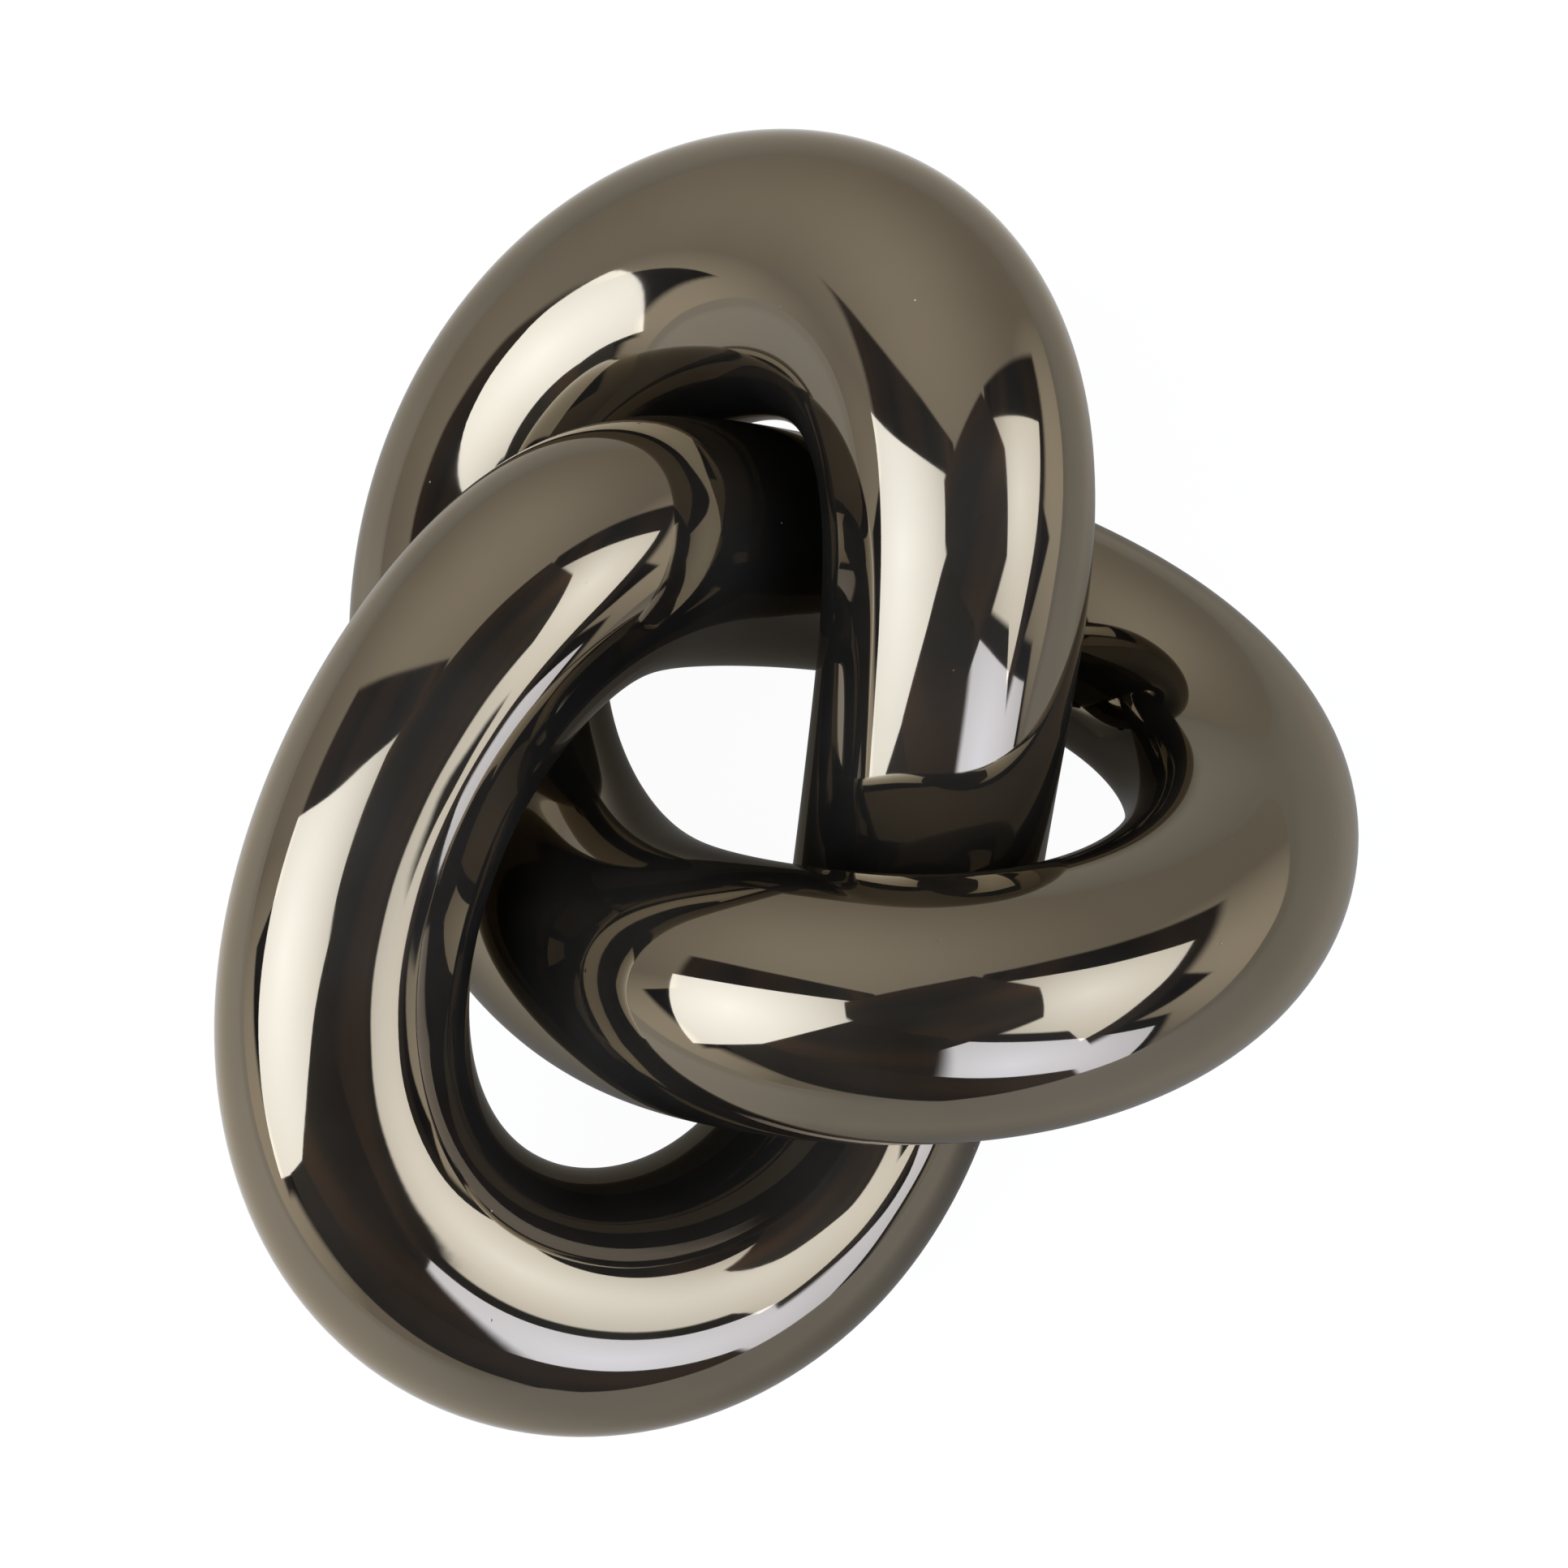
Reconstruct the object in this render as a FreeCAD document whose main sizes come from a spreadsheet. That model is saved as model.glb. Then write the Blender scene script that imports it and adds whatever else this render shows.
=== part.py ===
import FreeCAD, Part
import math
import os

# A closed tube tied in a three-lobed knot, lying on its lobes.
# The tube is pressed in half shells, six lengths of them, butted over inner sleeves.
# Millimetres, +Z up, X to the right and +Y away from someone standing in front of it.
# The origin is on the table under the middle of the knot.

SIZES = (
    ("tube_diameter", 32.0),
    ("strand_gap", 0.8),
    ("shell_wall", 1.2),
    ("sleeve_wall", 1.0),
    ("sleeve_length", 12.0),
    ("sleeve_clearance", 0.15),
    ("pad_diameter", 10.0),
    ("pad_thickness", 2.0),
    ("pad_bevel", 0.5),
    ("drain_diameter", 4.0),
    ("plug_clearance", 0.1),
    ("plug_stem_length", 3.0),
    ("plug_head_diameter", 7.0),
    ("plug_head_thickness", 1.0),
    ("plug_head_edge", 0.4),
)

# The middle line of the tube passes twelve stations, four to a lobe, and the first is the rear lobe's tip.
# Each row has its place right, back and up, as shares of the route span, and its share of the tube's diameter.
# A fit to the outline in the photograph gave them, in steps of 0.005 for a place and 0.01 for a thickness:
# three lobes, each over one neighbour and under the other, on three level feet.
ROUTE_SHARES = (
    (-0.100, 0.400, 0.265, 1.16),
    (0.105, 0.195, 0.385, 1.05),
    (0.080, -0.100, 0.205, 0.98),
    (-0.055, -0.370, 0.120, 1.02),
    (-0.330, -0.315, 0.265, 0.95),
    (-0.255, 0.025, 0.380, 0.91),
    (-0.095, 0.170, 0.280, 0.99),
    (0.205, 0.175, 0.105, 0.92),
    (0.325, -0.095, 0.235, 0.93),
    (0.045, -0.225, 0.365, 0.96),
    (-0.150, -0.150, 0.230, 1.03),
    (-0.285, 0.135, 0.120, 1.09),
)

# Six pieces of tube follow one another round the loop, a bend round each lobe and a run to the next.
# Each takes as many stations as the others, and the first has its middle at the first station.
TUBE_PIECES = (
    "rear_bend",
    "rear_to_left_run",
    "left_bend",
    "left_to_right_run",
    "right_bend",
    "right_to_rear_run",
)
DRAINED_PIECE = "rear_to_left_run"

# The knot touches down three times, by the joint where each of these pieces starts.
FEET = {"left": "rear_bend", "front": "left_bend", "right": "right_bend"}

SECTIONS_PER_PIECE = 13
SECTIONS_PER_SLEEVE = 5
LOOP_SAMPLES = 720
SIXTHS = len(TUBE_PIECES)

doc = FreeCAD.newDocument("knot_sculpture")
sheet = doc.addObject("Spreadsheet::Sheet", "sizes")


def fill_sheet():
    for row, (name, value) in enumerate(SIZES, start=1):
        sheet.set("A%d" % row, name)
        sheet.set("B%d" % row, str(value))
        sheet.setAlias("B%d" % row, name)
    doc.recompute()


def size(name):
    return float(sheet.get(name))


# The route

def station_weight(turn, index):
    """How much one station counts at a place on the loop, so that the curve is smooth and closed."""
    count = len(ROUTE_SHARES)
    half = (turn - 2 * math.pi * index / count) / 2
    if abs(math.sin(half)) < 1e-9:
        return 1.0
    return math.sin(count * half) / (count * math.tan(half))


def blend(turn):
    """The route's shares at a place on the loop, given as an angle of one turn in all."""
    weights = [station_weight(turn, index) for index in range(len(ROUTE_SHARES))]
    return [sum(w * row[k] for w, row in zip(weights, ROUTE_SHARES)) for k in range(4)]


def start_turn(name):
    """Where a piece of tube starts."""
    return 2 * math.pi * (TUBE_PIECES.index(name) - 1 / 2) / SIXTHS


def end_turn(name):
    return start_turn(name) + 2 * math.pi / SIXTHS


def loop_turns():
    return [2 * math.pi * i / LOOP_SAMPLES for i in range(LOOP_SAMPLES)]


def find_span():
    """The span at which the strands, wound tight, pass each other with just the strand gap between them."""
    stops = [blend(turn) for turn in loop_turns()[::2]]
    spots = [(FreeCAD.Vector(*stop[:3]), stop[3]) for stop in stops]
    apart = len(spots) // SIXTHS
    span = 0.0
    for i, (here, here_share) in enumerate(spots):
        for there, there_share in spots[i + apart:len(spots) - max(0, apart - i)]:
            between = (here_share + there_share) / 2 * size("tube_diameter") + size("strand_gap")
            span = max(span, between / here.distanceToPoint(there))
    return span


def raw_centre(turn):
    right, back, up, _ = blend(turn)
    return FreeCAD.Vector(right, back, up) * SPAN


def outer_radius(turn):
    return blend(turn)[3] * size("tube_diameter") / 2


def tangent(turn):
    step = 2 * math.pi / LOOP_SAMPLES / SIXTHS
    return (raw_centre(turn + step) - raw_centre(turn - step)).normalize()


def speed(turn):
    """Length of route for one unit of the loop angle."""
    step = 2 * math.pi / LOOP_SAMPLES / SIXTHS
    return (raw_centre(turn + step) - raw_centre(turn - step)).Length / (2 * step)


def upward(turn):
    """The direction square to the tube that points most nearly up, towards the upper shell's crown."""
    along = tangent(turn)
    up = FreeCAD.Vector(0, 0, 1)
    return (up - along * up.dot(along)).normalize()


def reach(axis, turn, side):
    """How far the tube's skin reaches along an axis at one place on the loop."""
    along = tangent(turn)
    square = math.sqrt(max(0.0, 1 - along.dot(axis) ** 2))
    return raw_centre(turn).dot(axis) + side * outer_radius(turn) * square


def find_shift():
    """Centres the knot over the origin and stands its lowest skin on the pads."""
    middles = []
    for axis in (FreeCAD.Vector(1, 0, 0), FreeCAD.Vector(0, 1, 0)):
        high = max(reach(axis, turn, 1) for turn in loop_turns())
        low = min(reach(axis, turn, -1) for turn in loop_turns())
        middles.append((high + low) / 2)
    bottom = min(reach(FreeCAD.Vector(0, 0, 1), turn, -1) for turn in loop_turns())
    return FreeCAD.Vector(-middles[0], -middles[1], size("pad_thickness") - bottom)


# Sections and lofts

def rim_point(turn, radius, angle):
    """A point of a round section: angle zero is the seam on the left hand, a quarter turn the crown."""
    crown = upward(turn)
    side = tangent(turn).cross(crown)
    spoke = side * math.cos(angle) + crown * math.sin(angle)
    return raw_centre(turn) + SHIFT + spoke * radius


def rim_arc(turn, radius, start, end):
    points = [rim_point(turn, radius, a) for a in (start, (start + end) / 2, end)]
    return Part.Arc(*points).toShape()


def half_ring(turn, outer, inner, half):
    """The section of one half shell: half is 1 for the upper shell and -1 for the lower."""
    ends = (0.0, half * math.pi / 2, half * math.pi)
    outward = [rim_arc(turn, outer, ends[0], ends[1]), rim_arc(turn, outer, ends[1], ends[2])]
    back = [rim_arc(turn, inner, ends[2], ends[1]), rim_arc(turn, inner, ends[1], ends[0])]
    left = Part.makeLine(rim_point(turn, outer, ends[2]), rim_point(turn, inner, ends[2]))
    right = Part.makeLine(rim_point(turn, inner, ends[0]), rim_point(turn, outer, ends[0]))
    return Part.Wire(outward + [left] + back + [right])


def full_ring(turn, radius):
    thirds = [2 * math.pi * k / 3 for k in range(4)]
    return Part.Wire([rim_arc(turn, radius, a, b) for a, b in zip(thirds, thirds[1:])])


def spread(start, end, count):
    return [start + (end - start) * i / (count - 1) for i in range(count)]


def shell_shape(name, half):
    wires = []
    for turn in spread(start_turn(name), end_turn(name), SECTIONS_PER_PIECE):
        outer = outer_radius(turn)
        wires.append(half_ring(turn, outer, outer - size("shell_wall"), half))
    return Part.makeLoft(wires, True, False)


def tube_solid(start, end, count, inset):
    """A solid round length, its skin set in from the tube's own by the inset."""
    wires = [full_ring(turn, outer_radius(turn) - inset) for turn in spread(start, end, count)]
    return Part.makeLoft(wires, True, False)


def sleeve_shape(name):
    middle = start_turn(name)
    half = size("sleeve_length") / 2 / speed(middle)
    outside = size("shell_wall") + size("sleeve_clearance")
    inside = outside + size("sleeve_wall")
    outer = tube_solid(middle - half, middle + half, SECTIONS_PER_SLEEVE, outside)
    # The bore runs past both faces of the sleeve by half its length.
    bore = tube_solid(middle - 2 * half, middle + 2 * half, 2 * SECTIONS_PER_SLEEVE - 1, inside)
    return outer.cut(bore)


# Document objects

def feature(label, shape):
    made = doc.addObject("Part::Feature", label)
    made.Shape = shape
    made.Label = label
    return made


def cut_object(label, base, tool):
    made = doc.addObject("Part::Cut", label)
    made.Base = base
    made.Tool = tool
    made.Label = label
    return made


def pointing(axis):
    return FreeCAD.Rotation(FreeCAD.Vector(0, 0, 1), axis)


def drain_place():
    """Where the drain hole leaves the underside of the drained piece, halfway along, and which way is out."""
    turn = (start_turn(DRAINED_PIECE) + end_turn(DRAINED_PIECE)) / 2
    out = upward(turn) * -1
    return raw_centre(turn) + SHIFT + out * outer_radius(turn), out


def make_drain_tool():
    point, out = drain_place()
    tool = doc.addObject("Part::Cylinder", "drain_tool")
    tool.setExpression("Radius", "sizes.drain_diameter / 2")
    # The hole runs past both faces of the shell by the length of the plug's stem.
    tool.setExpression("Height", "sizes.plug_stem_length * 2 + sizes.shell_wall")
    depth = size("plug_stem_length") + size("shell_wall")
    tool.Placement = FreeCAD.Placement(point - out * depth, pointing(out))
    return tool


def make_shells():
    made = []
    for name in TUBE_PIECES:
        for word, half in (("upper", 1), ("lower", -1)):
            label = "%s_%s_shell" % (name, word)
            shape = shell_shape(name, half)
            if name == DRAINED_PIECE and word == "lower":
                blank = feature("drained_shell_blank", shape)
                made.append(cut_object(label, blank, make_drain_tool()))
            else:
                made.append(feature(label, shape))
    return made


def make_sleeves():
    """One inner sleeve at the joint where each piece starts."""
    return [feature("%s_sleeve" % name, sleeve_shape(name)) for name in TUBE_PIECES]


def lowest_turn(name):
    """The lowest place of the skin within half a piece of the joint where this piece starts."""
    half = (end_turn(name) - start_turn(name)) / 2
    turns = spread(start_turn(name) - half, start_turn(name) + half, LOOP_SAMPLES // SIXTHS)
    return min(turns, key=lambda turn: reach(FreeCAD.Vector(0, 0, 1), turn, -1))


def make_pads():
    """A round bumper between the table and the lowest skin of each lobe, hollowed to fit the tube."""
    made = []
    for name, joint in FEET.items():
        turn = lowest_turn(joint)
        foot = raw_centre(turn) + SHIFT - upward(turn) * outer_radius(turn)
        blank = doc.addObject("Part::Cylinder", "%s_pad_blank" % name)
        blank.setExpression("Radius", "sizes.pad_diameter / 2")
        blank.setExpression("Height", "sizes.pad_thickness * 2")
        blank.Placement.Base = FreeCAD.Vector(foot.x, foot.y, 0)
        doc.recompute()
        bevelled = doc.addObject("Part::Chamfer", "%s_pad_bevelled" % name)
        bevelled.Base = blank
        low_edge = next(i for i, e in enumerate(blank.Shape.Edges, start=1)
                        if e.BoundBox.ZMax < size("pad_thickness") / 2)
        bevelled.Edges = [(low_edge, size("pad_bevel"), size("pad_bevel"))]
        reachout = size("pad_diameter") / speed(turn)
        tube = feature("%s_pad_seat" % name, tube_solid(turn - reachout, turn + reachout, SECTIONS_PER_PIECE, 0))
        made.append(cut_object("%s_pad" % name, bevelled, tube))
    return made


def plug_sketch(body):
    """Half of the plug's section: the stem goes up into the hole and the head hangs below the skin."""
    plane = next(f for f in body.Origin.OriginFeatures if f.Role == "XZ_Plane")
    sketch = body.newObject("Sketcher::SketchObject", "plug_section")
    sketch.AttachmentSupport = (plane, [""])
    sketch.MapMode = "FlatFace"
    stem = size("drain_diameter") / 2 - size("plug_clearance")
    head = size("plug_head_diameter") / 2
    deep = -size("plug_stem_length")
    thick = size("plug_head_thickness")
    edge = size("plug_head_edge")
    corners = ((0, deep), (stem, deep), (stem, 0), (head, 0), (head, edge), (head - edge, thick), (0, thick))
    points = [FreeCAD.Vector(x, y, 0) for x, y in corners]
    count = len(points)
    for i in range(count):
        sketch.addGeometry(Part.LineSegment(points[i], points[(i + 1) % count]), False)
    return sketch


def make_plug():
    body = doc.addObject("PartDesign::Body", "drain_plug")
    sketch = plug_sketch(body)
    turned = body.newObject("PartDesign::Revolution", "plug_turned")
    turned.Profile = sketch
    turned.ReferenceAxis = (sketch, ["V_Axis"])
    turned.Angle = 360
    point, out = drain_place()
    body.Placement = FreeCAD.Placement(point, pointing(out))
    body.Label = "drain_plug"
    return body


# Build, check and write

fill_sheet()
SPAN = find_span()
SHIFT = find_shift()
pieces = make_shells() + make_sleeves() + make_pads() + [make_plug()]
doc.recompute()

for item in doc.Objects:
    if "Invalid" in item.State or "Error" in item.State:
        raise RuntimeError("%s failed: %s" % (item.Label, item.State))
for piece in pieces:
    if piece.Shape.isNull() or not piece.Shape.isValid():
        raise RuntimeError("%s has no good shape" % piece.Label)

os.makedirs("parts", exist_ok=True)
for piece in pieces:
    piece.Shape.exportStep("parts/%s.step" % piece.Label)
    print("%-32s %9.1f mm3" % (piece.Label, piece.Shape.Volume))

box = FreeCAD.BoundBox()
for piece in pieces:
    box.add(piece.Shape.BoundBox)
print("span %.3f shift %.3f %.3f %.3f" % (SPAN, SHIFT.x, SHIFT.y, SHIFT.z))
print("box %.2f %.2f %.2f from %.2f %.2f %.2f" % (
    box.XLength, box.YLength, box.ZLength, box.XMin, box.YMin, box.ZMin))
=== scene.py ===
import math
import bpy
import numpy as np
from mathutils import Matrix, Vector


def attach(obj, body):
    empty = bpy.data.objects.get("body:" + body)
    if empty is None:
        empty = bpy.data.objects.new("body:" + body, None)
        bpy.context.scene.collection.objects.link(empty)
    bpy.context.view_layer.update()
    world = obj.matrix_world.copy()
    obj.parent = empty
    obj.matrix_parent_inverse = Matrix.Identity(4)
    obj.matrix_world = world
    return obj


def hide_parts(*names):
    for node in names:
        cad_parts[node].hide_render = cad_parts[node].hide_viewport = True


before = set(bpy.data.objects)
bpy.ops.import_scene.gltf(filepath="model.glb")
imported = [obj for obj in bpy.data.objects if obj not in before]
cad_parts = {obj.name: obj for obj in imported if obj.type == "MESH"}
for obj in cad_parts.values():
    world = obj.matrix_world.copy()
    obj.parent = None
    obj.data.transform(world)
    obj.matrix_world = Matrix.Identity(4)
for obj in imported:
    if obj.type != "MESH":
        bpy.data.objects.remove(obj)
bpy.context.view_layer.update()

# A hollow tube of dark mirror-plated metal, tied in an endless three-lobed knot that lies on its lobes.
# Metres, +Z up, +X to the right and +Y away from someone standing in front of the knot.

# Sizes of the tube and its route

ROUTE_SPAN = 0.159996
TUBE_DIAMETER = 0.032
SHELL_WALL = 0.0012
ROUTE_SHIFT = (-0.000115, -0.000215, 0.000297)

# The middle line passes twelve stations, four to a lobe, and the first is the rear lobe's tip.
# Each row has its place right, back and up, as shares of the route's span, and its share of the diameter.
# A fit to the outline in the photograph gave them, in steps of 0.005 for a place and 0.01 for a thickness.
ROUTE_SHARES = (
    (-0.100, 0.400, 0.265, 1.16),
    (0.105, 0.195, 0.385, 1.05),
    (0.080, -0.100, 0.205, 0.98),
    (-0.055, -0.370, 0.120, 1.02),
    (-0.330, -0.315, 0.265, 0.95),
    (-0.255, 0.025, 0.380, 0.91),
    (-0.095, 0.170, 0.280, 0.99),
    (0.205, 0.175, 0.105, 0.92),
    (0.325, -0.095, 0.235, 0.93),
    (0.045, -0.225, 0.365, 0.96),
    (-0.150, -0.150, 0.230, 1.03),
    (-0.285, 0.135, 0.120, 1.09),
)

# Six pieces of tube follow one another round the loop, a bend round each lobe and a run to the next.
TUBE_PIECES = (
    "rear_bend",
    "rear_to_left_run",
    "left_bend",
    "left_to_right_run",
    "right_bend",
    "right_to_rear_run",
)

# How finely a half shell is drawn: rings along it, and points across its half round.
RINGS = 81
SPOKES = 49


# The tube's surface

def station_weights(turns):
    """How much each station counts at each place on the loop, so that the curve is smooth and closed."""
    count = len(ROUTE_SHARES)
    half = (turns[:, None] - 2 * math.pi * np.arange(count) / count) / 2
    at_station = np.abs(np.sin(half)) < 1e-9
    half = np.where(at_station, 1.0, half)
    return np.where(at_station, 1.0, np.sin(count * half) / (count * np.tan(half)))


def route(turns):
    """The middle line and the tube's radius at places on the loop, given as angles of one turn in all."""
    blend = station_weights(turns) @ np.array(ROUTE_SHARES)
    return blend[:, :3] * ROUTE_SPAN + np.array(ROUTE_SHIFT), blend[:, 3] * TUBE_DIAMETER / 2


def unit(vectors):
    return vectors / np.linalg.norm(vectors, axis=-1, keepdims=True)


def tube_points(turns, angles, inset):
    """A grid of points on the tube: angle zero is the seam on the left hand, a quarter turn the crown."""
    step = 1e-4
    middle, radius = route(turns)
    along = unit(route(turns + step)[0] - route(turns - step)[0])
    up = np.array([0.0, 0.0, 1.0])
    crown = unit(up - along * (along @ up)[:, None])
    side = np.cross(along, crown)
    cos, sin = np.cos(angles)[None, :, None], np.sin(angles)[None, :, None]
    spoke = side[:, None] * cos + crown[:, None] * sin
    return middle[:, None] + spoke * (radius - inset)[:, None, None]


def tube_normals(turns, angles):
    """The skin's true normals, which also follow how the tube swells and narrows."""
    step = 1e-3
    down_the_tube = tube_points(turns + step, angles, 0.0) - tube_points(turns - step, angles, 0.0)
    round_it = tube_points(turns, angles + step, 0.0) - tube_points(turns, angles - step, 0.0)
    return unit(np.cross(down_the_tube, round_it))


# Half shells

def strip(first, second, faces, normals, first_normals, second_normals):
    """Quads between two rows of points, with the normal that each corner shows."""
    for i in range(len(first) - 1):
        faces.append((first[i], second[i], second[i + 1], first[i + 1]))
        normals.extend((first_normals[i], second_normals[i], second_normals[i + 1], first_normals[i + 1]))


def half_shell(name, order, half):
    """One pressed half shell with its real wall: half is 1 for the upper and -1 for the lower."""
    start = 2 * math.pi * (order - 1 / 2) / len(TUBE_PIECES)
    turns = np.linspace(start, start + 2 * math.pi / len(TUBE_PIECES), RINGS)
    angles = np.linspace(0.0, math.pi * half, SPOKES)[::half]
    outer = tube_points(turns, angles, 0.0)
    inner = tube_points(turns, angles, SHELL_WALL)
    out_normals = tube_normals(turns, angles)
    grid = np.arange(RINGS * SPOKES).reshape(RINGS, SPOKES)
    deep = grid + RINGS * SPOKES
    faces, normals = [], []
    for ring in range(RINGS - 1):
        here, there = out_normals[ring], out_normals[ring + 1]
        strip(grid[ring], grid[ring + 1], faces, normals, here, there)
        strip(deep[ring + 1], deep[ring], faces, normals, -there, -here)
    for column, turned in ((0, 1), (SPOKES - 1, -1)):
        through_wall = outer[:, column] - inner[:, column]
        flat = unit(np.cross(through_wall, outer[1, column] - outer[0, column])) * turned
        skin, lining = grid[:, column][::turned], deep[:, column][::turned]
        strip(skin, lining, faces, normals, flat[::turned], flat[::turned])
    for ring, turned in ((0, 1), (RINGS - 1, -1)):
        forward = unit(outer[1].mean(0) - outer[0].mean(0)) * -turned
        flat = np.tile(forward, (SPOKES, 1))
        skin, lining = grid[ring][::turned], deep[ring][::turned]
        strip(lining, skin, faces, normals, flat, flat)
    mesh = bpy.data.meshes.new(name)
    points = np.concatenate([outer.reshape(-1, 3), inner.reshape(-1, 3)])
    mesh.from_pydata(points.tolist(), [], [tuple(int(i) for i in face) for face in faces])
    mesh.shade_smooth()
    mesh.normals_split_custom_set([tuple(map(float, normal)) for normal in normals])
    shell = bpy.data.objects.new(name, mesh)
    bpy.context.scene.collection.objects.link(shell)
    return shell


# Materials

def linear(hex_colour):
    """An sRGB hex colour as linear red, green, blue and alpha."""
    parts = [int(hex_colour[i:i + 2], 16) / 255 for i in (1, 3, 5)]
    return tuple(c / 12.92 if c <= 0.04045 else ((c + 0.055) / 1.055) ** 2.4 for c in parts) + (1.0,)


def add_node(tree, kind, settings=None, inputs=None):
    """Adds one node, sets its settings, and fills its sockets with values or links from other sockets."""
    node = tree.nodes.new(kind)
    for key, value in (settings or {}).items():
        setattr(node, key, value)
    for key, value in (inputs or {}).items():
        if isinstance(value, bpy.types.NodeSocket):
            tree.links.new(value, node.inputs[key])
        else:
            node.inputs[key].default_value = value
    return node


def new_material(name):
    material = bpy.data.materials.new(name)
    material.use_nodes = True
    material.node_tree.nodes.clear()
    return material, material.node_tree


def per_metre(millimetres):
    """The scale of a pattern whose grains are this many millimetres across."""
    return 1000.0 / millimetres


def make_black_nickel():
    """Steel, buffed to a mirror and plated with black nickel: a warm smoky grey mirror.

    It gives the eye a dark taupe where it mirrors white, near black elsewhere, and sharp lamps
    whose edges waver a little, because buffing by hand leaves a faint swell in the surface.
    """
    material, tree = new_material("black_nickel_plate")
    place = add_node(tree, "ShaderNodeTexCoord").outputs["Object"]
    # The plating is a little browner and deeper from place to place, in clouds of about 40 mm.
    clouds = add_node(tree, "ShaderNodeTexNoise", inputs={
        "Vector": place, "Scale": per_metre(40), "Detail": 3.0})
    tone = add_node(tree, "ShaderNodeMix", {"data_type": "RGBA"}, {
        "Factor": clouds.outputs["Fac"], "A": linear("#5D574C"), "B": linear("#6F6657")})
    # Fingertip smears and a haze from the last wipe, about 12 mm across.
    smears = add_node(tree, "ShaderNodeTexNoise", inputs={
        "Vector": place, "Scale": per_metre(12), "Detail": 5.0})
    haze = add_node(tree, "ShaderNodeMapRange", inputs={
        "Value": smears.outputs["Fac"], "From Min": 0.35, "From Max": 0.75, "To Min": 0.02, "To Max": 0.06})
    # The buffed swell, about 18 mm from crest to crest and a few hundredths of a millimetre high.
    swell = add_node(tree, "ShaderNodeTexNoise", inputs={
        "Vector": place, "Scale": per_metre(18), "Detail": 1.0})
    wave = add_node(tree, "ShaderNodeBump", inputs={
        "Height": swell.outputs["Fac"], "Distance": 0.00012, "Strength": 1.0})
    # Pits in the plating, about half a millimetre across and several centimetres apart.
    pits = add_node(tree, "ShaderNodeTexVoronoi", inputs={"Vector": place, "Scale": per_metre(9)})
    dimple = add_node(tree, "ShaderNodeMapRange", inputs={
        "Value": pits.outputs["Distance"], "From Min": 0.0, "From Max": 0.035, "To Min": 0.0, "To Max": 1.0})
    pitted = add_node(tree, "ShaderNodeBump", inputs={
        "Height": dimple.outputs["Result"], "Distance": 0.00004, "Strength": 1.0,
        "Normal": wave.outputs["Normal"]})
    metal = add_node(tree, "ShaderNodeBsdfPrincipled", inputs={
        "Base Color": tone.outputs["Result"], "Metallic": 1.0, "Roughness": haze.outputs["Result"],
        "Specular Tint": linear("#EAE4DA"), "Normal": pitted.outputs["Normal"]})
    # A film of dust, thicker in patches of about 25 mm, lifts the blacks a little.
    patches = add_node(tree, "ShaderNodeTexNoise", inputs={
        "Vector": place, "Scale": per_metre(25), "Detail": 6.0})
    film = add_node(tree, "ShaderNodeMapRange", inputs={
        "Value": patches.outputs["Fac"], "From Min": 0.3, "From Max": 0.7, "To Min": 0.006, "To Max": 0.024})
    # Single specks of dust, a quarter of a millimetre across and several centimetres apart.
    specks = add_node(tree, "ShaderNodeTexVoronoi", inputs={"Vector": place, "Scale": per_metre(11)})
    speck = add_node(tree, "ShaderNodeMath", {"operation": "LESS_THAN"}, {
        0: specks.outputs["Distance"], 1: 0.011})
    cover = add_node(tree, "ShaderNodeMath", {"operation": "MULTIPLY_ADD", "use_clamp": True}, {
        0: speck.outputs["Value"], 1: 0.5, 2: film.outputs["Result"]})
    dust = add_node(tree, "ShaderNodeBsdfDiffuse", inputs={"Color": linear("#BDB6AA")})
    skin = add_node(tree, "ShaderNodeMixShader", inputs={
        0: cover.outputs["Value"], 1: metal.outputs["BSDF"], 2: dust.outputs["BSDF"]})
    add_node(tree, "ShaderNodeOutputMaterial", inputs={"Surface": skin.outputs["Shader"]})
    return material


def make_mill_steel():
    """Mild steel strip as it leaves the rolls: grey, with faint lines along the rolling."""
    material, tree = new_material("mill_steel")
    place = add_node(tree, "ShaderNodeTexCoord").outputs["Object"]
    drawn = add_node(tree, "ShaderNodeMapping", inputs={"Vector": place, "Scale": (0.1, 1.0, 1.0)})
    lines = add_node(tree, "ShaderNodeTexNoise", inputs={
        "Vector": drawn.outputs["Vector"], "Scale": per_metre(0.8), "Detail": 4.0})
    tone = add_node(tree, "ShaderNodeMix", {"data_type": "RGBA"}, {
        "Factor": lines.outputs["Fac"], "A": linear("#A9A8A4"), "B": linear("#BDBCB8")})
    rough = add_node(tree, "ShaderNodeMapRange", inputs={
        "Value": lines.outputs["Fac"], "To Min": 0.3, "To Max": 0.5})
    grooves = add_node(tree, "ShaderNodeBump", inputs={"Height": lines.outputs["Fac"], "Distance": 0.00001})
    metal = add_node(tree, "ShaderNodeBsdfPrincipled", inputs={
        "Base Color": tone.outputs["Result"], "Metallic": 1.0, "Roughness": rough.outputs["Result"],
        "Normal": grooves.outputs["Normal"]})
    add_node(tree, "ShaderNodeOutputMaterial", inputs={"Surface": metal.outputs["BSDF"]})
    return material


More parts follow.
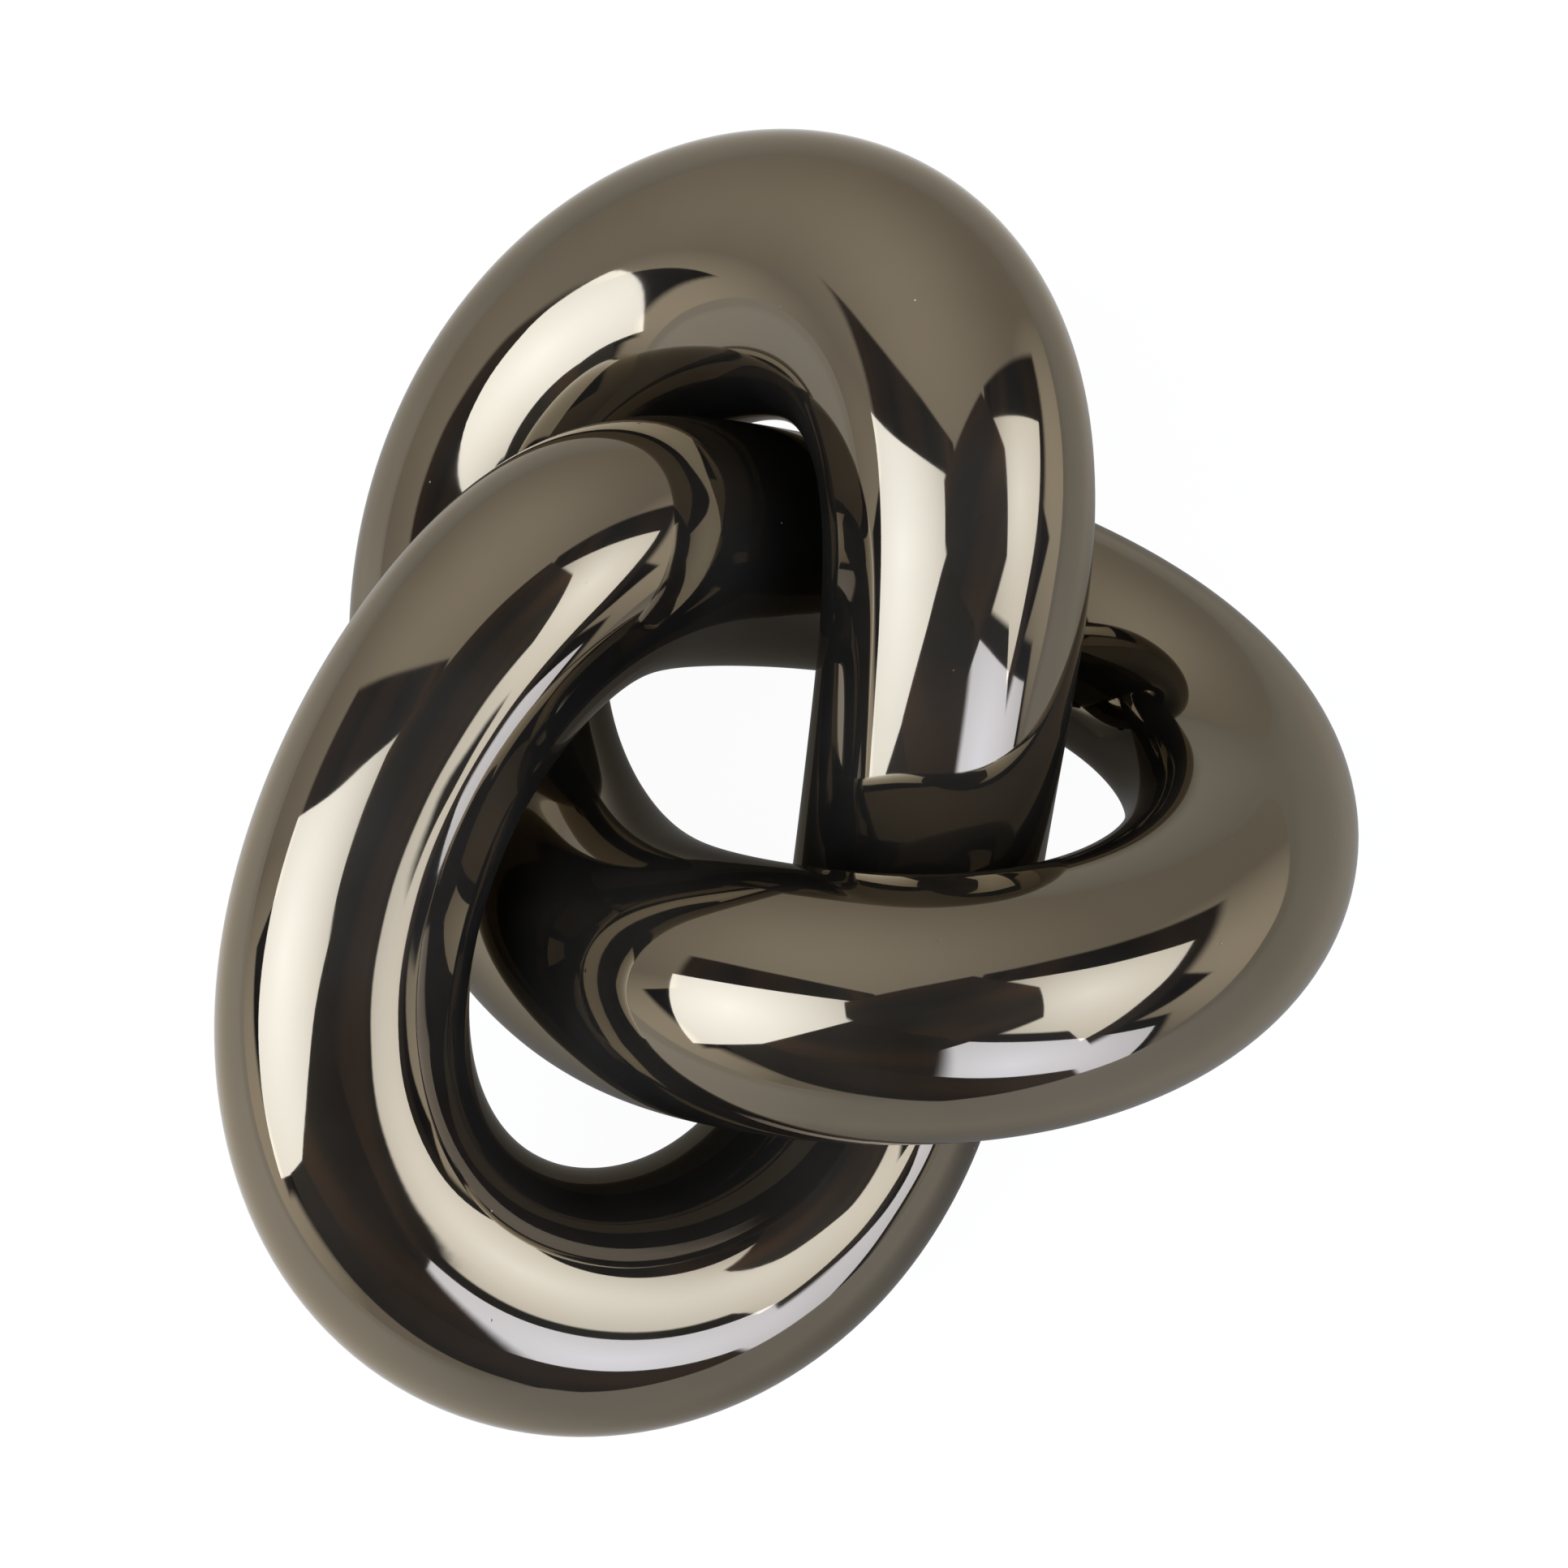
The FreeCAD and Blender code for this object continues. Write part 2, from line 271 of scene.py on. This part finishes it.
def make_bumper_rubber():
    """Moulded black rubber: matt, with the fine grain of its mould."""
    material, tree = new_material("bumper_rubber")
    place = add_node(tree, "ShaderNodeTexCoord").outputs["Object"]
    grain = add_node(tree, "ShaderNodeTexNoise", inputs={
        "Vector": place, "Scale": per_metre(0.4), "Detail": 2.0})
    tone = add_node(tree, "ShaderNodeMix", {"data_type": "RGBA"}, {
        "Factor": grain.outputs["Fac"], "A": linear("#1B1B1A"), "B": linear("#262625")})
    rough = add_node(tree, "ShaderNodeMapRange", inputs={
        "Value": grain.outputs["Fac"], "To Min": 0.6, "To Max": 0.8})
    dimples = add_node(tree, "ShaderNodeBump", inputs={"Height": grain.outputs["Fac"], "Distance": 0.00003})
    rubber = add_node(tree, "ShaderNodeBsdfPrincipled", inputs={
        "Base Color": tone.outputs["Result"], "Roughness": rough.outputs["Result"], "IOR": 1.52,
        "Normal": dimples.outputs["Normal"]})
    add_node(tree, "ShaderNodeOutputMaterial", inputs={"Surface": rubber.outputs["BSDF"]})
    return material


def make_plug_nylon():
    """Moulded black nylon with a satin spark finish."""
    material, tree = new_material("plug_nylon")
    place = add_node(tree, "ShaderNodeTexCoord").outputs["Object"]
    spark = add_node(tree, "ShaderNodeTexNoise", inputs={
        "Vector": place, "Scale": per_metre(0.3), "Detail": 3.0})
    tone = add_node(tree, "ShaderNodeMix", {"data_type": "RGBA"}, {
        "Factor": spark.outputs["Fac"], "A": linear("#141414"), "B": linear("#1E1E1E")})
    rough = add_node(tree, "ShaderNodeMapRange", inputs={
        "Value": spark.outputs["Fac"], "To Min": 0.4, "To Max": 0.55})
    dimples = add_node(tree, "ShaderNodeBump", inputs={"Height": spark.outputs["Fac"], "Distance": 0.00002})
    nylon = add_node(tree, "ShaderNodeBsdfPrincipled", inputs={
        "Base Color": tone.outputs["Result"], "Roughness": rough.outputs["Result"], "IOR": 1.53,
        "Normal": dimples.outputs["Normal"]})
    add_node(tree, "ShaderNodeOutputMaterial", inputs={"Surface": nylon.outputs["BSDF"]})
    return material


# Studio, whose lengths are in metres and whose turns are in degrees

KNOT_MIDDLE = Vector((0.0, 0.0, 0.04))
FLOOR_WIDTH = 12.0
CLOTH_GAP = 0.01
BULB_REACH = 0.9

# Brightness, where 1 is white: the floor to the camera, the room in mirrors, what the room gains there
# high up behind the knot, and how much the room lights matt surfaces.
FLOOR_WHITE = 0.96
ROOM_GLOW = 0.75
HIGH_GLOW = 0.62
ROOM_LIGHT = 0.4


def seen_plainly(tree):
    """One for what the camera, a mirror or glass sees, and zero for light that falls on things."""
    path = add_node(tree, "ShaderNodeLightPath")
    either = add_node(tree, "ShaderNodeMath", {"operation": "MAXIMUM"}, {
        0: path.outputs["Is Camera Ray"], 1: path.outputs["Is Glossy Ray"]})
    both = add_node(tree, "ShaderNodeMath", {"operation": "MAXIMUM"}, {
        0: either.outputs["Value"], 1: path.outputs["Is Transmission Ray"]})
    return both.outputs["Value"]


def bearing(azimuth, elevation):
    """A direction from the knot, in degrees clockwise from straight behind it and upwards from level."""
    a, e = math.radians(azimuth), math.radians(elevation)
    return Vector((math.cos(e) * math.sin(a), math.cos(e) * math.cos(a), math.sin(e)))


def glow_towards(tree, direction, place, start, least, most):
    """From least to most as the direction nears a place that is given as its azimuth and elevation."""
    nearness = add_node(tree, "ShaderNodeVectorMath", {"operation": "DOT_PRODUCT"}, {
        0: direction, 1: bearing(*place)})
    glow = add_node(tree, "ShaderNodeMapRange", inputs={
        "Value": nearness.outputs["Value"], "From Min": start, "To Min": least, "To Max": most})
    return glow.outputs["Result"]


def make_floor_white():
    """White studio paper. The camera sees it as plain white with a faint shadow of the knot.

    Mirrors see it white too, with a painted shade under the knot: their glow is dim near the middle and full
    beyond about 135 mm, on top of the paper's own shadow.
    """
    material, tree = new_material("floor_white")
    path = add_node(tree, "ShaderNodeLightPath")
    mirrored = add_node(tree, "ShaderNodeMath", {"operation": "MAXIMUM"}, {
        0: path.outputs["Is Glossy Ray"], 1: path.outputs["Is Transmission Ray"]})
    place = add_node(tree, "ShaderNodeTexCoord").outputs["Object"]
    away = add_node(tree, "ShaderNodeVectorMath", {"operation": "LENGTH"}, {0: place})
    # Painted shade: the glow that mirrors see rises with distance from the knot's middle, from 0.1 within 50
    # mm to 0.78 beyond 135 mm.
    painted_shade_near_knot = add_node(tree, "ShaderNodeMapRange", {"interpolation_type": "SMOOTHSTEP"}, {
        "Value": away.outputs["Value"], "From Min": 0.05, "From Max": 0.135, "To Min": 0.1, "To Max": 0.78})
    # Painted light: the glow that mirrors see is stronger on the side towards the left, as if lit from
    # there.
    outward = add_node(tree, "ShaderNodeVectorMath", {"operation": "NORMALIZE"}, {0: place})
    painted_left_light = glow_towards(tree, outward.outputs["Vector"], (250.0, 0.0), 0.45, 0.93, 1.5)
    painted_mirror_glow = add_node(tree, "ShaderNodeMath", {"operation": "MULTIPLY"}, {
        0: painted_shade_near_knot.outputs["Result"], 1: painted_left_light})
    shown = add_node(tree, "ShaderNodeMath", {"operation": "MULTIPLY"}, {
        0: mirrored.outputs["Value"], 1: painted_mirror_glow.outputs["Value"]})
    strength = add_node(tree, "ShaderNodeMix", {"data_type": "FLOAT"}, {
        "Factor": path.outputs["Is Camera Ray"], "A": shown.outputs["Value"], "B": FLOOR_WHITE})
    tone = add_node(tree, "ShaderNodeMix", {"data_type": "RGBA"}, {
        "Factor": path.outputs["Is Camera Ray"], "A": linear("#626262"), "B": linear("#3C3C3C")})
    paper = add_node(tree, "ShaderNodeBsdfDiffuse", inputs={"Color": tone.outputs["Result"]})
    glow = add_node(tree, "ShaderNodeEmission", inputs={
        "Color": linear("#FFFFFF"), "Strength": strength.outputs["Result"]})
    lit = add_node(tree, "ShaderNodeAddShader", inputs={
        0: paper.outputs["BSDF"], 1: glow.outputs["Emission"]})
    add_node(tree, "ShaderNodeOutputMaterial", inputs={"Surface": lit.outputs["Shader"]})
    return material


def make_black_cloth():
    """Black cloth that has faded brown along its folds, about 300 mm apart, and frays out at its edges."""
    material, tree = new_material("black_cloth")
    coordinates = add_node(tree, "ShaderNodeTexCoord")
    hung = add_node(tree, "ShaderNodeMapping", inputs={
        "Vector": coordinates.outputs["Object"], "Scale": (1.0, 0.15, 1.0)})
    folds = add_node(tree, "ShaderNodeTexNoise", inputs={
        "Vector": hung.outputs["Vector"], "Scale": per_metre(300), "Detail": 0.5})
    faded = add_node(tree, "ShaderNodeMapRange", inputs={
        "Value": folds.outputs["Fac"], "From Min": 0.42, "From Max": 0.68})
    tone = add_node(tree, "ShaderNodeMix", {"data_type": "RGBA"}, {
        "Factor": faded.outputs["Result"], "A": linear("#544F49"), "B": linear("#866C57")})
    cloth = add_node(tree, "ShaderNodeBsdfDiffuse", inputs={"Color": tone.outputs["Result"]})
    # How far out towards the nearest edge, from zero in the middle to a half at the edge.
    from_middle = add_node(tree, "ShaderNodeVectorMath", {"operation": "SUBTRACT"}, {
        0: coordinates.outputs["Generated"], 1: (0.5, 0.5, 0.0)})
    outward = add_node(tree, "ShaderNodeVectorMath", {"operation": "ABSOLUTE"}, {
        0: from_middle.outputs["Vector"]})
    across = add_node(tree, "ShaderNodeSeparateXYZ", inputs={0: outward.outputs["Vector"]})
    edge = add_node(tree, "ShaderNodeMath", {"operation": "MAXIMUM"}, {
        0: across.outputs["X"], 1: across.outputs["Y"]})
    frayed = add_node(tree, "ShaderNodeMapRange", {"interpolation_type": "SMOOTHSTEP"}, {
        "Value": edge.outputs["Value"], "From Min": 0.465, "From Max": 0.5})
    clear = add_node(tree, "ShaderNodeBsdfTransparent")
    sheer = add_node(tree, "ShaderNodeMixShader", inputs={
        0: frayed.outputs["Result"], 1: cloth.outputs["BSDF"], 2: clear.outputs["BSDF"]})
    add_node(tree, "ShaderNodeOutputMaterial", inputs={"Surface": sheer.outputs["Shader"]})
    return material


def facing_knot(azimuth, elevation, distance, roll, swing, tilt):
    """The place and turn of a lamp or card round the knot. It faces the knot before its swing and tilt."""
    away = bearing(azimuth, elevation)
    left = bearing(azimuth - 90.0, 0.0)
    upward = away.cross(left)
    turn = Matrix((left, upward, away)).transposed().to_4x4()
    for angle, axis in ((-roll, "Z"), (swing, "Y"), (tilt, "X")):
        turn = turn @ Matrix.Rotation(math.radians(angle), 4, axis)
    return Matrix.Translation(away * distance + KNOT_MIDDLE) @ turn


def sheet(name, width, depth, matrix, material):
    """A flat sheet that stands or lies in the studio."""
    mesh = bpy.data.meshes.new(name)
    x, y = width / 2, depth / 2
    mesh.from_pydata([(-x, -y, 0.0), (x, -y, 0.0), (x, y, 0.0), (-x, y, 0.0)], [], [(0, 1, 2, 3)])
    mesh.materials.append(material)
    flat = bpy.data.objects.new(name, mesh)
    flat.matrix_world = matrix
    bpy.context.scene.collection.objects.link(flat)


def shade_lamp(lamp, bulb):
    """The diffuser is brightest and whitest over its bulb, and dimmer and warmer away from it."""
    lamp.use_nodes = True
    tree = lamp.node_tree
    tree.nodes.clear()
    spot = add_node(tree, "ShaderNodeNewGeometry").outputs["Position"]
    aside = add_node(tree, "ShaderNodeVectorMath", {"operation": "DISTANCE"}, {0: spot, 1: bulb})
    fall = add_node(tree, "ShaderNodeMapRange", inputs={
        "Value": aside.outputs["Value"], "From Max": BULB_REACH})
    strength = add_node(tree, "ShaderNodeMapRange", inputs={
        "Value": fall.outputs["Result"], "To Min": 1.22, "To Max": 0.62})
    tone = add_node(tree, "ShaderNodeMix", {"data_type": "RGBA"}, {
        "Factor": fall.outputs["Result"], "A": linear("#FFFFFF"), "B": linear("#FFFAF3")})
    glow = add_node(tree, "ShaderNodeEmission", inputs={
        "Color": tone.outputs["Result"], "Strength": strength.outputs["Result"]})
    add_node(tree, "ShaderNodeOutputLight", inputs={"Surface": glow.outputs["Emission"]})


def softbox(name, colour, radiance, size, bulb, margins, place):
    """A lamp with a rectangular diffuser, and the black cloth behind it that reaches past its four edges.

    The bulb's place is measured from the middle, and the margins are left, right, low and high.
    """
    width, height = size
    lamp = bpy.data.lights.new(name, "AREA")
    lamp.shape = "RECTANGLE"
    lamp.size = width
    lamp.size_y = height
    lamp.color = linear(colour)[:3]
    lamp.energy = radiance * math.pi * width * height
    light = bpy.data.objects.new(name, lamp)
    light.matrix_world = facing_knot(*place)
    shade_lamp(lamp, light.matrix_world @ Vector((bulb[0], bulb[1], 0.0)))
    bpy.context.scene.collection.objects.link(light)
    left, right, low, high = margins
    aside = Vector(((left - right) / 2, (high - low) / 2, CLOTH_GAP))
    behind = light.matrix_world @ Matrix.Translation(aside)
    sheet(name + "_cloth", width + left + right, height + low + high, behind, black_cloth)


# Camera, steeply down on the knot from the front, where the fit to the photographed outline put it

def make_camera():
    lens = bpy.data.cameras.new("camera")
    lens.sensor_width = 36.0
    lens.lens = 52.61
    lens.clip_end = 50.0
    camera = bpy.data.objects.new("camera", lens)
    camera.location = (-0.00488, -0.08929, 0.31511)
    camera.rotation_euler = (math.radians(17.28), math.radians(-0.235), 0.0)
    bpy.context.scene.collection.objects.link(camera)
    bpy.context.scene.camera = camera


def make_world():
    """A white room, brightest high up behind the knot on the left and low down at its two sides."""
    world = bpy.data.worlds.new("white_room")
    world.use_nodes = True
    tree = world.node_tree
    tree.nodes.clear()
    away = add_node(tree, "ShaderNodeTexCoord").outputs["Generated"]
    high = glow_towards(tree, away, (327.0, 56.0), 0.25, 0.0, 1.0)
    squared = add_node(tree, "ShaderNodeMath", {"operation": "POWER"}, {0: high, 1: 2.0})
    shown = add_node(tree, "ShaderNodeMath", {"operation": "MULTIPLY_ADD"}, {
        0: squared.outputs["Value"], 1: HIGH_GLOW, 2: ROOM_GLOW})
    for side in ((85.0, 8.0), (243.0, 5.0)):
        low = glow_towards(tree, away, side, 0.8, 0.0, 1.0)
        shown = add_node(tree, "ShaderNodeMath", {"operation": "ADD"}, {0: shown.outputs["Value"], 1: low})
    strength = add_node(tree, "ShaderNodeMix", {"data_type": "FLOAT"}, {
        "Factor": seen_plainly(tree), "A": ROOM_LIGHT, "B": shown.outputs["Value"]})
    room = add_node(tree, "ShaderNodeBackground", inputs={
        "Color": linear("#FFFAF2"), "Strength": strength.outputs["Result"]})
    add_node(tree, "ShaderNodeOutputWorld", inputs={"Surface": room.outputs["Background"]})
    bpy.context.scene.world = world


# Put together

black_nickel = make_black_nickel()
mill_steel = make_mill_steel()
bumper_rubber = make_bumper_rubber()
plug_nylon = make_plug_nylon()
black_cloth = make_black_cloth()

for order, name in enumerate(TUBE_PIECES):
    for word, half in (("upper", 1), ("lower", -1)):
        node = "%s_%s_shell" % (name, word)
        shell = half_shell("%s_%s_skin" % (name, word), order, half)
        shell.data.materials.append(black_nickel)
        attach(shell, "root")
        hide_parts(node)


def refinish(node, material):
    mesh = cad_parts[node].data
    mesh.materials.clear()
    mesh.materials.append(material)


for name in TUBE_PIECES:
    refinish(name + "_sleeve", mill_steel)
for name in ("left_pad", "front_pad", "right_pad"):
    refinish(name, bumper_rubber)
refinish("drain_plug", plug_nylon)

sheet("floor", FLOOR_WIDTH, FLOOR_WIDTH, Matrix.Identity(4), make_floor_white())
# The lamps and cards have their places from a fit to the patches that the photographed tube mirrors.
softbox(
    "left_window", "#DFEBFF", 8.0, size=(1.13, 0.59), bulb=(-0.31, 0.05),
    margins=(0.41, 0.0, 0.06, 0.30), place=(234.0, 52.9, 0.88, -56.1, -35.3, 5.9))
softbox(
    "right_window", "#E7F0FF", 5.7, size=(1.66, 1.62), bulb=(-0.5, -0.4),
    margins=(0.165, 0.115, 0.46, 0.18), place=(125.6, 54.8, 1.50, -95.9, -51.5, 17.5))
softbox(
    "front_window", "#CEDBFF", 6.9, size=(1.11, 0.59), bulb=(0.0, 0.0),
    margins=(0.10, 0.50, 0.37, 0.15), place=(149.7, 20.6, 0.98, 44.3, -0.8, 0.1))
sheet("left_card", 2.14, 2.52, facing_knot(252.0, 53.8, 1.55, -93.7, -43.1, 54.9), black_cloth)
sheet("high_card", 0.97, 1.23, facing_knot(124.4, 69.0, 1.14, -80.2, -10.1, -22.2), black_cloth)
sheet("right_card", 1.49, 1.40, facing_knot(110.9, 35.9, 2.08, 189.0, -15.5, -21.1), black_cloth)
sheet("front_card", 0.29, 1.43, facing_knot(183.5, 15.3, 0.63, -69.3, 155.2, 4.1), black_cloth)
make_world()
make_camera()
bpy.context.scene.view_settings.view_transform = "Standard"
